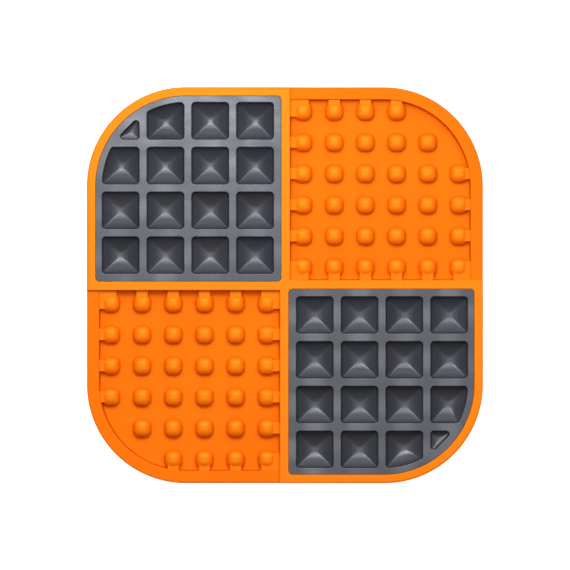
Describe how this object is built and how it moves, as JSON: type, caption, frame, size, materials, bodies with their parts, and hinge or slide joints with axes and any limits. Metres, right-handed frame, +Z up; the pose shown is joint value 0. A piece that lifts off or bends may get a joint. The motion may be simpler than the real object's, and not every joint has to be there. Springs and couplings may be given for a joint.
{
  "type": "lick mat",
  "caption": "Square lick mat with rounded corners: a rubber base with nubbed pockets, and grid inserts whose cells sink to a point in the middle, for spreading soft pet food.",
  "frame": {"origin": "middle of the flat underside, at the surface that the mat lies on", "axes": "+Z up out of the mat's upper side, +X to the right and +Y to the top of the mat seen from above, with the grid inserts at the top left and bottom right"},
  "size_m": [0.2, 0.2, 0.01],
  "materials": {
    "base_rubber": "satin, slightly soft to the eye",
    "grid_plastic": "semi-gloss"
  },
  "bodies": {
    "root": {"base": "base_rubber", "insert_nw": "grid_plastic", "insert_se": "grid_plastic"}
  },
  "joints": []
}
